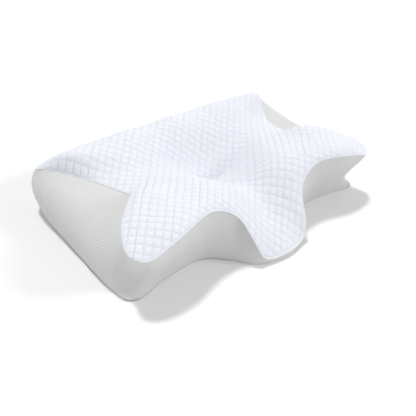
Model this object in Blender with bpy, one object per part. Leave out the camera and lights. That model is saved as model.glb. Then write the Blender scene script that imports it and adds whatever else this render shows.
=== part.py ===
"""Butterfly-shaped neck pillow: a moulded foam core in a two-piece liner and a zip-off cover.

The cover is a quilted top, a mesh band in five panels and a flat base. X runs along the pillow,
-Y is the front, where the neck lobe slopes down, and +Z is up. The origin is on the underside.

The outer surface is one closed grid of rings: the top from its pole down to the seam, the band
from the seam to the base edge, and the base back to its pole. Every layer is a slice of that grid
moved inward, so the layers nest with an even gap.
"""
from collections import namedtuple
import math

import bpy
import bmesh
import numpy as np
from mathutils import Matrix, Vector

CM = 0.01
MM = 0.001
MERGE_DISTANCE = 0.01 * MM
UNION_OVERLAP = 0.2 * MM

# Layers, from the outside in
COVER = 2.2 * MM
LINER = 0.8 * MM
LAYER_GAP = 0.4 * MM
LINER_DEPTH = COVER + LAYER_GAP
FOAM_DEPTH = LINER_DEPTH + LINER + LAYER_GAP
LEVEL_SHARE = 1.6
BOWL_REACH = 8 * CM
MIDDLE_HEIGHT = 2.2 * CM

# Cords sewn round the two edges of the band, and the strip left free for them
PIPING_RADIUS = 1.2 * MM
BINDING_RADIUS = 0.7 * MM
EDGE_STRIP = 3.4 * MM
LARGEST_STRIP_SHARE = 0.8
CORD_SIDES = 6

# Sampling of the outer surface
COLUMNS_PER_SPAN = 2
TOP_FRACTIONS = (0.13, 0.30, 0.50, 0.70, 0.87)
BAND_FRACTIONS = (0.22, 0.5, 0.78)
BASE_FRACTIONS = (0.5,)
PANEL_SPLIT = 0.03

# Top surface
EDGE_ROLL = 0.9 * CM
EDGE_ROLL_POWER = 12
SEAM_BLEND_POWER = 6

# The half outline from the rear centre round one end to the front centre, in centimetres. seam is
# a point of the top's edge (x, y, z) and base the point of the base edge below it (x, y). Between
# them the band is a Bezier curve: from_seam is how far it leaves the seam (outward, down) and
# from_base how far it leaves the base edge (outward, up).
Station = namedtuple("Station", "seam base from_seam from_base")
OUTLINE = (
    Station((0.0, 20.2, 9.0), (0.0, 20.2), (0.0, 3.0), (0.0, 3.0)),
    Station((11.5, 20.2, 9.0), (11.5, 20.2), (0.0, 3.0), (0.0, 3.0)),
    Station((23.0, 20.0, 8.7), (22.5, 20.1), (0.1, 3.0), (0.1, 3.0)),
    Station((28.7, 18.9, 8.4), (28.0, 18.7), (1.7, 2.0), (1.4, 2.6)),
    Station((27.6, 17.2, 8.8), (29.5, 15.2), (3.0, 1.2), (1.5, 4.5)),
    Station((21.9, 9.1, 8.3), (30.1, 7.9), (8.0, -0.6), (1.0, 6.0)),
    Station((20.6, 2.2, 9.8), (30.4, 1.0), (9.0, 0.6), (0.8, 6.0)),
    Station((21.0, 1.3, 11.0), (30.5, -0.4), (9.0, 2.0), (0.8, 6.0)),
    Station((28.1, -5.8, 10.9), (30.5, -6.8), (1.5, 3.0), (0.3, 3.0)),
    Station((30.1, -10.6, 10.0), (30.0, -10.1), (-1.4, 4.0), (-4.6, 3.5)),
    Station((28.3, -12.7, 9.6), (28.4, -11.1), (-1.6, 4.0), (-4.2, 3.4)),
    Station((22.4, -12.8, 11.3), (22.0, -10.0), (0.0, 3.5), (-0.7, 3.0)),
    Station((13.5, -10.8, 11.4), (13.8, -9.9), (0.0, 4.0), (0.0, 4.0)),
    Station((8.5, -12.1, 8.8), (9.5, -13.0), (0.2, 3.0), (0.2, 3.0)),
    Station((6.4, -16.2, 3.6), (6.8, -16.2), (0.2, 1.2), (0.2, 1.2)),
    Station((5.2, -17.3, 1.5), (4.8, -17.2), (0.2, 0.5), (0.2, 0.5)),
    Station((0.0, -18.2, 1.1), (0.0, -18.2), (0.2, 0.4), (0.2, 0.4)),
)
REAR_CORNER = 3
WING_CORNER = 10
FRONT_CENTRE = len(OUTLINE) - 1

# Heights of the top (x, y, z) in centimetres, mirrored in x
LANDMARKS = (
    (0.0, 3.0, 4.6),  # bottom of the head bowl
    (4.5, 2.0, 5.8),
    (6.5, 6.0, 7.1),
    (14.0, 6.5, 9.3),
    (0.0, 9.5, 8.4),
    (13.0, 11.5, 10.6),
    (0.0, 16.0, 12.0),  # crest of the rear bar
    (12.0, 16.0, 12.0),
    (22.5, 15.5, 11.8),
    (26.0, 17.4, 10.8),
    (0.0, -4.5, 7.8),  # middle of the neck ridge
    (6.0, -3.6, 10.3),  # crest of the neck ridge
    (5.5, -7.0, 10.8),
    (8.7, -1.0, 10.6),
    (14.0, -5.5, 12.2),
    (23.0, -6.5, 12.5),  # crown of the wing
    (17.5, 2.0, 10.4),  # root of the wing
    (0.0, -10.5, 6.5),  # slope of the neck lobe
    (0.0, -14.5, 4.1),
)
BOWL_CENTRE = (0.0, 3.0)

# Zip on the flat rear panel, lying along X
REAR_PLANE = 20.2 * CM
ZIP_HEIGHT = 4.0 * CM
SLOT_LENGTH = 400 * MM
SLOT_HEIGHT = 20 * MM
SLOT_REACH = 10 * MM
CLEARANCE = 0.3 * MM
TAPE_THICKNESS = 1.0 * MM
TAPE_FRONT = REAR_PLANE - 0.8 * MM
COIL_LENGTH = 392 * MM
COIL_HEIGHT = 2.3 * MM
COIL_THICKNESS = 1.8 * MM
COIL_BEVEL = 0.5 * MM
COIL_BACK = TAPE_FRONT + CLEARANCE
STOP_LENGTH = 2.5 * MM
SLIDER_LENGTH = 10 * MM
SLIDER_HEIGHT = 8.4 * MM
SLIDER_WALL = 1.2 * MM
SLIDER_REST = COIL_LENGTH / 2 - 7 * MM
BRIDGE_SPAN = 9 * MM
BRIDGE_WIDTH = 2.4 * MM
BRIDGE_TUNNEL = 3.0 * MM
BRIDGE_WALL = 1.0 * MM
PULL_LENGTH = 28 * MM
PULL_WIDTH = 7.6 * MM
PULL_THICKNESS = 1.2 * MM
PULL_BAR_RADIUS = 0.9 * MM
PULL_ARM_LENGTH = 8 * MM
PULL_ARM_WIDTH = 1.3 * MM
METAL_BEVEL = 0.4 * MM

LABEL_SIZE = (24 * MM, 0.6 * MM, 20 * MM)
LABEL_PLACE = (-12 * CM, REAR_PLANE + 1.3 * MM, 6.4 * CM)
LABEL_BEVEL = 0.2 * MM


def clear_scene():
    for item in list(bpy.data.objects):
        bpy.data.objects.remove(item, do_unlink=True)


def material(name, colour, roughness, metallic=0.0):
    made = bpy.data.materials.new(name)
    made.use_nodes = True
    shader = made.node_tree.nodes["Principled BSDF"]
    shader.inputs["Base Color"].default_value = (*colour, 1.0)
    shader.inputs["Roughness"].default_value = roughness
    shader.inputs["Metallic"].default_value = metallic
    return made


# ---- the outer surface ----

def whole_ring(half):
    """The closed ring of values made by a half outline and the same values again on the other side."""
    half = np.asarray(half, float) * CM
    return np.concatenate([half, half[-2:0:-1]])


def mirrored_ring(half):
    """The closed ring of points made by a half outline whose two ends lie on x = 0."""
    ring = whole_ring(half)
    ring[len(half):, 0] *= -1.0
    return ring


def ring_curve(points, places):
    """A centripetal Catmull-Rom curve through a closed ring, read at fractional point numbers."""
    count = len(points)
    out = []
    for place in places:
        start = int(math.floor(place)) % count
        t = place - math.floor(place)
        p0, p1, p2, p3 = (points[(start + k) % count] for k in (-1, 0, 1, 2))
        steps = (p1 - p0, p2 - p1, p3 - p2)
        d0, d1, d2 = (max(math.sqrt(np.linalg.norm(step)), 0.000001) for step in steps)
        m1 = p2 - p1 + d1 * ((p1 - p0) / d0 - (p2 - p0) / (d0 + d1))
        m2 = p2 - p1 + d1 * ((p3 - p2) / d2 - (p3 - p1) / (d1 + d2))
        cubic = 2 * (p1 - p2) + m1 + m2
        square = 3 * (p2 - p1) - 2 * m1 - m2
        out.append(((cubic * t + square) * t + m1) * t + p1)
    return np.array(out)


def column_places():
    """Where the columns stand on the ring, and the columns that open each split between panels."""
    spans = 2 * FRONT_CENTRE
    splits = {REAR_CORNER, WING_CORNER, FRONT_CENTRE, spans - WING_CORNER, spans - REAR_CORNER}
    places = []
    split_columns = {}
    for span in range(spans):
        if span in splits:
            places.append(span - PANEL_SPLIT)
            split_columns[span] = len(places)
            places.append(span + PANEL_SPLIT)
        else:
            places.append(float(span))
        places += [span + k / COLUMNS_PER_SPAN for k in range(1, COLUMNS_PER_SPAN)]
    return places, split_columns


def thin_plate(landmarks):
    """A smooth height function through points (x, y, z)."""
    known = np.asarray(landmarks, float)
    count = len(known)

    def kernel(a, b):
        squared = ((a[:, None, :2] - b[None, :, :2]) ** 2).sum(2)
        return squared * np.log(squared + 1e-12) / 2

    plane = np.column_stack([np.ones(count), known[:, :2]])
    system = np.zeros((count + 3, count + 3))
    system[:count, :count] = kernel(known, known)
    system[:count, count:] = plane
    system[count:, :count] = plane.T
    weights = np.linalg.solve(system, np.append(known[:, 2], [0.0, 0.0, 0.0]))

    def height(points):
        flat = np.column_stack([np.ones(len(points)), points[:, :2]])
        return kernel(points, known) @ weights[:count] + flat @ weights[count:]

    return height


def top_height():
    """The height of the top before it rolls down to the seam."""
    crown = np.array(LANDMARKS) * CM
    mirrored = crown[crown[:, 0] > 0] * (-1, 1, 1)
    edge = mirrored_ring([station.seam for station in OUTLINE]) + (0, 0, EDGE_ROLL)
    return thin_plate(np.concatenate([crown, mirrored, edge]))


def top_ring(seam, fraction, height):
    """The ring that lies this fraction of the way from the bowl's centre to the seam."""
    centre = np.array([BOWL_CENTRE[0] * CM, BOWL_CENTRE[1] * CM])
    ring = np.empty_like(seam)
    ring[:, :2] = centre + (seam[:, :2] - centre) * fraction
    rolled_edge = height(seam) - EDGE_ROLL
    ring[:, 2] = (
        height(ring)
        - EDGE_ROLL * fraction ** EDGE_ROLL_POWER
        + (seam[:, 2] - rolled_edge) * fraction ** SEAM_BLEND_POWER
    )
    return ring


def level_from_centre(points):
    """The level distance of each point from the pillow's upright centre line, and its direction."""
    level = points[..., :2] - np.array(BOWL_CENTRE) * CM
    reach = np.linalg.norm(level, axis=-1, keepdims=True)
    direction = level / np.maximum(reach, MERGE_DISTANCE)
    return reach, np.concatenate([direction, np.zeros_like(reach)], axis=-1)


def band_ring(seam, base, from_seam, from_base, fraction):
    """The ring that lies this fraction of the way down the band."""
    _, side = level_from_centre(base)
    up = np.array([0.0, 0.0, 1.0])
    near_seam = seam + side * from_seam[:, :1] - up * from_seam[:, 1:]
    near_base = base + side * from_base[:, :1] + up * from_base[:, 1:]
    left = 1.0 - fraction
    return (
        seam * left ** 3
        + near_seam * 3 * left ** 2 * fraction
        + near_base * 3 * left * fraction ** 2
        + base * fraction ** 3
    )


def moved_toward(ring, neighbour):
    """The ring moved toward its neighbour, along the surface, to where a panel's cloth ends."""
    step = neighbour - ring
    length = np.linalg.norm(step, axis=-1, keepdims=True)
    return ring + step * np.minimum(EDGE_STRIP / np.maximum(length, MERGE_DISTANCE), LARGEST_STRIP_SHARE)


def outer_surface():
    """Rings from the top's pole to the base's pole, the seam's and base edge's row, and the splits."""
    places, split_columns = column_places()
    seam = ring_curve(mirrored_ring([station.seam for station in OUTLINE]), places)
    base = ring_curve(mirrored_ring([(*station.base, 0.0) for station in OUTLINE]), places)
    from_seam = ring_curve(whole_ring([station.from_seam for station in OUTLINE]), places)
    from_base = ring_curve(whole_ring([station.from_base for station in OUTLINE]), places)
    height = top_height()
    pole = np.array([[*BOWL_CENTRE, 0.0]]) * CM
    pole[0, 2] = height(pole)[0]
    top = [np.repeat(pole, len(seam), axis=0)]
    top += [top_ring(seam, fraction, height) for fraction in TOP_FRACTIONS]
    top.append(moved_toward(seam, top[-1]))
    band = [band_ring(seam, base, from_seam, from_base, fraction) for fraction in BAND_FRACTIONS]
    band = [moved_toward(seam, band[0]), *band, moved_toward(base, band[-1])]
    under = [base * fraction for fraction in BASE_FRACTIONS]
    under = [moved_toward(base, under[0]), *under, np.zeros_like(base)]
    rings = np.array([*top, seam, *band, base, *under])
    return rings, len(top), len(top) + 1 + len(band), split_columns


def grid_triangles(rows, columns, wrap):
    """Triangles of a grid of numbered points, every cell cut along the same diagonal."""
    faces = []
    for row in range(rows - 1):
        for column in range(columns if wrap else columns - 1):
            right = (column + 1) % columns
            a = row * columns + column
            b = (row + 1) * columns + column
            c = (row + 1) * columns + right
            d = row * columns + right
            faces += [(a, c, b), (a, d, c)]
    return faces


def inward_steps(rings):
    """For each point, the step inward for one unit of depth.

    It points at the pillow's middle height, and away from the bowl also at its upright centre line.
    It is longer level than upright, because the outline is slanted to that line beside the wings.
    """
    reach, direction = level_from_centre(rings)
    share = LEVEL_SHARE * np.clip((reach - BOWL_REACH) / BOWL_REACH, 0.0, 1.0)
    rise = np.clip((rings[..., 2] - MIDDLE_HEIGHT) / MIDDLE_HEIGHT, -1.0, 1.0)
    steps = -direction * share
    steps[..., 2] = -rise
    return steps


# ---- making objects ----

def add_object(name, mesh_maker, look, sharp_angle=40.0):
    mesh = bpy.data.meshes.new(name)
    mesh_maker.to_mesh(mesh)
    mesh_maker.free()
    mesh.materials.append(look)
    mesh.shade_smooth()
    mesh.set_sharp_from_angle(angle=math.radians(sharp_angle))
    made = bpy.data.objects.new(name, mesh)
    bpy.context.collection.objects.link(made)
    return made


def mesh_of(points, faces):
    """A bmesh of numbered points and faces, with points that share a place made one."""
    made = bmesh.new()
    corners = [made.verts.new(point) for point in points]
    for face in faces:
        made.faces.new([corners[k] for k in face])
    bmesh.ops.remove_doubles(made, verts=made.verts, dist=MERGE_DISTANCE)
    bmesh.ops.dissolve_degenerate(made, edges=made.edges, dist=MERGE_DISTANCE)
    return made


def thick_sheet(outer, inner, wrap):
    """The closed mesh between two grids of the same shape; wrap joins the last column to the first."""
    rows, columns, _ = outer.shape
    count = rows * columns
    faces = grid_triangles(rows, columns, wrap)
    faces += [tuple(count + k for k in reversed(face)) for face in faces]
    rim = []
    for column in range(columns if wrap else columns - 1):
        right = (column + 1) % columns
        rim.append((right, column))
        rim.append(((rows - 1) * columns + column, (rows - 1) * columns + right))
    if not wrap:
        for row in range(rows - 1):
            rim.append((row * columns, (row + 1) * columns))
            rim.append(((row + 2) * columns - 1, (row + 1) * columns - 1))
    points = np.concatenate([outer.reshape(-1, 3), inner.reshape(-1, 3)])
    for first, second in rim:
        if np.linalg.norm(points[first] - points[second]) > MERGE_DISTANCE:
            faces.append((first, second, count + second, count + first))
    return mesh_of(points, faces)


def cord_round(path, radius):
    """A closed round cord along a closed path."""
    along = np.roll(path, -1, axis=0) - np.roll(path, 1, axis=0)
    along /= np.linalg.norm(along, axis=1)[:, None]
    side = np.cross(along, (0.0, 0.0, 1.0))
    side /= np.linalg.norm(side, axis=1)[:, None]
    up = np.cross(side, along)
    turns = [2 * math.pi * k / CORD_SIDES for k in range(CORD_SIDES)]
    rings = np.array([path + radius * (math.cos(a) * side + math.sin(a) * up) for a in turns])
    columns = len(path)
    faces = grid_triangles(CORD_SIDES, columns, True)
    last = (CORD_SIDES - 1) * columns
    for column in range(columns):
        right = (column + 1) % columns
        faces.append((last + column, last + right, right, column))
    return mesh_of(rings.reshape(-1, 3), faces)


def box_mesh(low, high):
    made = bmesh.new()
    bmesh.ops.create_cube(made, size=1.0)
    for vert in made.verts:
        for axis in range(3):
            vert.co[axis] = low[axis] if vert.co[axis] < 0 else high[axis]
    return made


def bevelled_box(low, high, width, segments=2):
    made = box_mesh(low, high)
    bmesh.ops.bevel(made, geom=made.edges[:], offset=width, segments=segments, affect="EDGES")
    return made


def round_bar(start, end, radius, sides=12):
    """A closed straight bar between two points."""
    made = bmesh.new()
    along = Vector(end) - Vector(start)
    turn = along.to_track_quat("Z", "Y").to_matrix().to_4x4()
    place = Matrix.Translation((Vector(start) + Vector(end)) / 2) @ turn
    bmesh.ops.create_cone(
        made,
        cap_ends=True,
        segments=sides,
        radius1=radius,
        radius2=radius,
        depth=along.length,
        matrix=place,
    )
    return made


def combine(target, other_maker, operation):
    """Adds to an object, or cuts from it, a solid that is then discarded."""
    mesh = bpy.data.meshes.new("tool")
    other_maker.to_mesh(mesh)
    other_maker.free()
    tool = bpy.data.objects.new("tool", mesh)
    bpy.context.collection.objects.link(tool)
    step = target.modifiers.new("combine", "BOOLEAN")
    step.operation = operation
    step.object = tool
    step.solver = "EXACT"
    bpy.context.view_layer.update()
    seen = target.evaluated_get(bpy.context.evaluated_depsgraph_get())
    result = bpy.data.meshes.new_from_object(seen)
    target.modifiers.clear()
    target.data = result
    bpy.data.objects.remove(tool, do_unlink=True)


# ---- the cover, the liner and the foam ----

def make_cover(rings, steps, seam_row, base_row, split_columns, looks):
    inner = rings + steps * COVER
    add_object("top_panel", thick_sheet(rings[:seam_row], inner[:seam_row], True), looks["quilt"])
    under = slice(base_row + 1, None)
    add_object("base_panel", thick_sheet(rings[under], inner[under], True), looks["base"])
    band = slice(seam_row + 1, base_row)
    columns = rings.shape[1]
    splits = sorted(split_columns)
    names = ("end_panel_right", "arch_panel_right", "arch_panel_left", "end_panel_left", "rear_panel")
    for k, name in enumerate(names):
        start = split_columns[splits[k]]
        end = split_columns[splits[(k + 1) % len(splits)]] - 1
        width = (end - start) % columns + 1
        picked = [(start + n) % columns for n in range(width)]
        panel = thick_sheet(rings[band][:, picked], inner[band][:, picked], False)
        add_object(name, panel, looks["band"])


def make_edges(rings, seam_row, base_row, looks):
    add_object("top_piping", cord_round(rings[seam_row], PIPING_RADIUS), looks["piping"])
    path = rings[base_row] + (0.0, 0.0, BINDING_RADIUS)
    add_object("base_binding", cord_round(path, BINDING_RADIUS), looks["band"])


def make_liner(rings, steps, seam_row, looks):
    outer = rings + steps * LINER_DEPTH
    inner = rings + steps * (LINER_DEPTH + LINER)
    add_object("liner_top", thick_sheet(outer[:seam_row], inner[:seam_row], True), looks["liner"])
    below = slice(seam_row + 1, None)
    add_object("liner_base", thick_sheet(outer[below], inner[below], True), looks["liner"])


def make_foam(rings, steps, looks):
    points = rings + steps * FOAM_DEPTH
    faces = grid_triangles(len(rings), rings.shape[1], True)
    add_object("foam_core", mesh_of(points.reshape(-1, 3), faces), looks["foam"])


# ---- the zip ----

def make_zip_slot(rear_panel):
    half = SLOT_LENGTH / 2
    low = (-half, REAR_PLANE - SLOT_REACH, ZIP_HEIGHT - SLOT_HEIGHT / 2)
    high = (half, REAR_PLANE + SLOT_REACH, ZIP_HEIGHT + SLOT_HEIGHT / 2)
    combine(rear_panel, box_mesh(low, high), "DIFFERENCE")


def make_tapes_and_coils(looks):
    half = SLOT_LENGTH / 2 - CLEARANCE
    for name, sign in (("upper", 1), ("lower", -1)):
        edge = ZIP_HEIGHT + sign * CLEARANCE
        low_z, high_z = sorted((edge, ZIP_HEIGHT + sign * (SLOT_HEIGHT / 2 - CLEARANCE)))
        tape = box_mesh((-half, TAPE_FRONT - TAPE_THICKNESS, low_z), (half, TAPE_FRONT, high_z))
        add_object(f"zipper_tape_{name}", tape, looks["tape"])
        low_z, high_z = sorted((edge, edge + sign * COIL_HEIGHT))
        low = (-COIL_LENGTH / 2, COIL_BACK, low_z)
        high = (COIL_LENGTH / 2, COIL_BACK + COIL_THICKNESS, high_z)
        add_object(f"zipper_coil_{name}", bevelled_box(low, high, COIL_BEVEL), looks["coil"])


def make_stops(looks):
    """The metal clamps past the two ends of the coils."""
    half_height = CLEARANCE + COIL_HEIGHT
    for name, sign in (("top", 1), ("bottom", -1)):
        near = sign * (COIL_LENGTH / 2 + CLEARANCE)
        low_x, high_x = sorted((near, near + sign * STOP_LENGTH))
        low = (low_x, COIL_BACK, ZIP_HEIGHT - half_height)
        high = (high_x, COIL_BACK + COIL_THICKNESS, ZIP_HEIGHT + half_height)
        add_object(f"zipper_{name}_stop", bevelled_box(low, high, METAL_BEVEL), looks["metal"])


def make_slider(looks):
    """The slider's plate over the coils, its two side walls and the bridge that holds the pull.

    Returns how far back the pull's axis is.
    """
    half = SLIDER_LENGTH / 2
    tall = SLIDER_HEIGHT / 2
    inside = COIL_BACK + COIL_THICKNESS + CLEARANCE
    plate_top = inside + SLIDER_WALL
    crown = plate_top + BRIDGE_TUNNEL
    low = (SLIDER_REST - half, inside, ZIP_HEIGHT - tall)
    high = (SLIDER_REST + half, plate_top, ZIP_HEIGHT + tall)
    slider = add_object("zipper_slider", box_mesh(low, high), looks["metal"])
    for sign in (1, -1):
        low_z, high_z = sorted((ZIP_HEIGHT + sign * tall, ZIP_HEIGHT + sign * (tall - SLIDER_WALL)))
        low = (SLIDER_REST - half, COIL_BACK, low_z)
        high = (SLIDER_REST + half, inside + UNION_OVERLAP, high_z)
        combine(slider, box_mesh(low, high), "UNION")
    low_z = ZIP_HEIGHT - BRIDGE_WIDTH / 2
    high_z = ZIP_HEIGHT + BRIDGE_WIDTH / 2
    reach = BRIDGE_SPAN / 2
    for sign in (1, -1):
        foot = (SLIDER_REST + sign * reach, SLIDER_REST + sign * (reach - BRIDGE_WALL))
        low = (min(foot), plate_top - UNION_OVERLAP, low_z)
        high = (max(foot), crown + UNION_OVERLAP, high_z)
        combine(slider, box_mesh(low, high), "UNION")
    low = (SLIDER_REST - reach, crown, low_z)
    high = (SLIDER_REST + reach, crown + BRIDGE_WALL, high_z)
    combine(slider, box_mesh(low, high), "UNION")
    return plate_top + BRIDGE_TUNNEL / 2


def make_pull(axis_y, looks):
    """A tab on two arms, with a bar through the bridge, built round its own axis."""
    hinge = bpy.data.objects.new("pull_hinge", None)
    bpy.context.collection.objects.link(hinge)
    hinge.location = (SLIDER_REST, axis_y, ZIP_HEIGHT)
    half = PULL_WIDTH / 2
    thick = PULL_THICKNESS / 2
    low = (-PULL_LENGTH, -thick, -half)
    high = (-PULL_ARM_LENGTH, thick, half)
    pull = add_object("zipper_pull_tab", bevelled_box(low, high, METAL_BEVEL), looks["metal"])
    arm_thick = thick - METAL_BEVEL / 4
    for sign in (1, -1):
        low_z, high_z = sorted((sign * half, sign * (half - PULL_ARM_WIDTH)))
        low = (-PULL_ARM_LENGTH - 1 * MM, -arm_thick, low_z)
        combine(pull, box_mesh(low, (thick, arm_thick, high_z)), "UNION")
    bar_end = half - UNION_OVERLAP
    bar = round_bar((0, 0, -bar_end), (0, 0, bar_end), PULL_BAR_RADIUS)
    combine(pull, bar, "UNION")
    pull.parent = hinge


def make_label(looks):
    low = [place - size / 2 for place, size in zip(LABEL_PLACE, LABEL_SIZE)]
    high = [place + size / 2 for place, size in zip(LABEL_PLACE, LABEL_SIZE)]
    add_object("care_label", bevelled_box(low, high, LABEL_BEVEL, 1), looks["label"])


def main():
    clear_scene()
    looks = {
        "quilt": material("quilted_white_knit", (0.86, 0.88, 0.92), 0.9),
        "piping": material("white_edge", (0.88, 0.90, 0.93), 0.8),
        "band": material("grey_air_mesh", (0.55, 0.55, 0.55), 0.95),
        "base": material("grey_underside", (0.50, 0.50, 0.50), 0.95),
        "liner": material("liner_jersey", (0.82, 0.82, 0.80), 0.95),
        "foam": material("memory_foam", (0.90, 0.88, 0.78), 0.9),
        "tape": material("zip_tape", (0.52, 0.52, 0.53), 0.85),
        "coil": material("zip_coil", (0.58, 0.58, 0.60), 0.45),
        "metal": material("zinc_alloy", (0.62, 0.62, 0.64), 0.35, 1.0),
        "label": material("label_satin", (0.90, 0.90, 0.90), 0.6),
    }
    rings, seam_row, base_row, split_columns = outer_surface()
    steps = inward_steps(rings)
    make_cover(rings, steps, seam_row, base_row, split_columns, looks)
    make_edges(rings, seam_row, base_row, looks)
    make_liner(rings, steps, seam_row, looks)
    make_foam(rings, steps, looks)
    make_zip_slot(bpy.data.objects["rear_panel"])
    make_tapes_and_coils(looks)
    make_stops(looks)
    axis_y = make_slider(looks)
    make_pull(axis_y, looks)
    make_label(looks)


main()
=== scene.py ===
"""Looks for the contoured neck pillow: quilted top, mesh band, zip, label, liner and foam.

The outer surface is sampled again here from the same outline as the CAD, finely enough for cloth.
"""
import math

import bpy
import bmesh
import numpy as np
from mathutils import Matrix, Vector
from mathutils.geometry import delaunay_2d_cdt


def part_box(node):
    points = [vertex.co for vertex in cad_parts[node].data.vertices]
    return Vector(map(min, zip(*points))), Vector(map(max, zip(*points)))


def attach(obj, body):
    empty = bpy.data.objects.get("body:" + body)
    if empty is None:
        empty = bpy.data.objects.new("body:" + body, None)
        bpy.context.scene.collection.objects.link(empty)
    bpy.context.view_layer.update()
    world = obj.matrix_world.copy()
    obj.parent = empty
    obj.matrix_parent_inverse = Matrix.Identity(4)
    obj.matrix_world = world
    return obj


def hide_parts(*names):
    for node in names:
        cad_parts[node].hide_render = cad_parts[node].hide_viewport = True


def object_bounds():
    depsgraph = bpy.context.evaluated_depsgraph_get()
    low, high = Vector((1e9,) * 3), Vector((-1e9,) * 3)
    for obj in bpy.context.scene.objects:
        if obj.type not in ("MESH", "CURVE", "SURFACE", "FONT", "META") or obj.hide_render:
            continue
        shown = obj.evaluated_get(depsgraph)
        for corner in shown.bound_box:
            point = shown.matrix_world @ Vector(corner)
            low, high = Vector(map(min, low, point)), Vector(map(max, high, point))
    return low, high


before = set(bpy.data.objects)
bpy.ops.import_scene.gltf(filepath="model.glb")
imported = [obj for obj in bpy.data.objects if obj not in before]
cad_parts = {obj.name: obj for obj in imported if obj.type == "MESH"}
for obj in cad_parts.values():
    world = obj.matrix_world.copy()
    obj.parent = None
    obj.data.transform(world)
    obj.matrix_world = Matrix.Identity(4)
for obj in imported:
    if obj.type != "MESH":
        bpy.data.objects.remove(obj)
CAD_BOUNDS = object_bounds()

CM = 0.01
MM = 0.001

# ---- outline and heights, in centimetres, as the CAD has them ----

# Each row: the seam (x, y, z), the base edge (x, y), then how far out and how far down or up the
# band first runs from each of them
OUTLINE = (
    ((0.0, 20.2, 9.0), (0.0, 20.2), (0.0, 3.0), (0.0, 3.0)),
    ((11.5, 20.2, 9.0), (11.5, 20.2), (0.0, 3.0), (0.0, 3.0)),
    ((23.0, 20.0, 8.7), (22.5, 20.1), (0.1, 3.0), (0.1, 3.0)),
    ((28.7, 18.9, 8.4), (28.0, 18.7), (1.7, 2.0), (1.4, 2.6)),
    ((27.6, 17.2, 8.8), (29.5, 15.2), (3.0, 1.2), (1.5, 4.5)),
    ((21.9, 9.1, 8.3), (30.1, 7.9), (8.0, -0.6), (1.0, 6.0)),
    ((20.6, 2.2, 9.8), (30.4, 1.0), (9.0, 0.6), (0.8, 6.0)),
    ((21.0, 1.3, 11.0), (30.5, -0.4), (9.0, 2.0), (0.8, 6.0)),
    ((28.1, -5.8, 10.9), (30.5, -6.8), (1.5, 3.0), (0.3, 3.0)),
    ((30.1, -10.6, 10.0), (30.0, -10.1), (-1.4, 4.0), (-4.6, 3.5)),
    ((28.3, -12.7, 9.6), (28.4, -11.1), (-1.6, 4.0), (-4.2, 3.4)),
    ((22.4, -12.8, 11.3), (22.0, -10.0), (0.0, 3.5), (-0.7, 3.0)),
    ((13.5, -10.8, 11.4), (13.8, -9.9), (0.0, 4.0), (0.0, 4.0)),
    ((8.5, -12.1, 8.8), (9.5, -13.0), (0.2, 3.0), (0.2, 3.0)),
    ((6.4, -16.2, 3.6), (6.8, -16.2), (0.2, 1.2), (0.2, 1.2)),
    ((5.2, -17.3, 1.5), (4.8, -17.2), (0.2, 0.5), (0.2, 0.5)),
    ((0.0, -18.2, 1.1), (0.0, -18.2), (0.2, 0.4), (0.2, 0.4)),
)
REAR_CORNER = 3
WAIST = 6
WING_CORNER = 10
FRONT_CENTRE = len(OUTLINE) - 1
SPANS = 2 * FRONT_CENTRE
LANDMARKS = (
    (0.0, 3.0, 4.6),
    (4.5, 2.0, 5.8),
    (6.5, 6.0, 7.1),
    (14.0, 6.5, 9.3),
    (0.0, 9.5, 8.4),
    (13.0, 11.5, 10.6),
    (0.0, 16.0, 12.0),
    (12.0, 16.0, 12.0),
    (22.5, 15.5, 11.8),
    (26.0, 17.4, 10.8),
    (0.0, -4.5, 7.8),
    (6.0, -3.6, 10.3),
    (5.5, -7.0, 10.8),
    (8.7, -1.0, 10.6),
    (14.0, -5.5, 12.2),
    (23.0, -6.5, 12.5),
    (17.5, 2.0, 10.4),
    (0.0, -10.5, 6.5),
    (0.0, -14.5, 4.1),
)
BOWL_CENTRE = np.array([0.0, 3.0]) * CM
EDGE_ROLL = 0.9 * CM
EDGE_ROLL_POWER = 12
SEAM_BLEND_POWER = 6

COVER = 2.2 * MM
LINER = 0.8 * MM
LAYER_GAP = 0.4 * MM
LINER_DEPTH = COVER + LAYER_GAP
FOAM_DEPTH = LINER_DEPTH + LINER + LAYER_GAP
LEVEL_SHARE = 1.6
BOWL_REACH = 8 * CM
MIDDLE_HEIGHT = 2.2 * CM
TINY = 1e-12

# ---- sizes of the quilted top and its edges ----

SEAM_SAMPLES = 3200
QUILT_CELL = 14.6 * MM
STITCH_WAYS = np.array([(0.81, 0.76), (-0.81, 0.76)])
QUILT_SHIFT = np.array([0.75, 0.293]) * QUILT_CELL
CELL_STEPS = 9
LATTICE_SIDE = 0.42
LATTICE_REACH = 0.989
TURNED_EDGE = (LATTICE_REACH + 0.003, 0.996, 1.0)
QUILT_BACK = (1.0, 0.9, 0.72, 0.5, 0.28, 0.12)
QUILT_PUFF = 1.5 * MM
QUILT_SQUARENESS = 0.5
QUILT_UNEVENNESS = 0.12
QUILT_FADE = 3.5 * MM
BOWL_PUFF = 0.45
TOP_SLACK = 0.35 * MM
BOWL_FOLDS = (
    ((-2.5, 4.5), (-1.2, 3.9), (-0.1, 3.2), (0.9, 2.2)),
    ((0.4, 3.8), (1.5, 2.9), (2.6, 2.9), (3.6, 3.1)),
)
FOLD_SAMPLES = 24
FOLD_WIDTH = 2.6 * MM
FOLD_DEPTH = 3.6 * MM
EDGE_SPACING = 2.0 * MM
PIPING_RADIUS = 1.0 * MM
PIPING_SPACING = 2.2 * MM
PIPING_HIDDEN = 0.6
BINDING_RADIUS = 0.7 * MM
BINDING_SPACING = 3 * MM
STITCH_LENGTH = 2.6 * MM
STITCH_GAP = 1.1 * MM
STITCH_RADIUS = 0.28 * MM
STITCH_RISE = 0.35 * MM
STITCH_SUNK = 0.12 * MM
STITCH_STEPS = 6

# ---- sizes of the band, the underside and the inside ----

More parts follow.
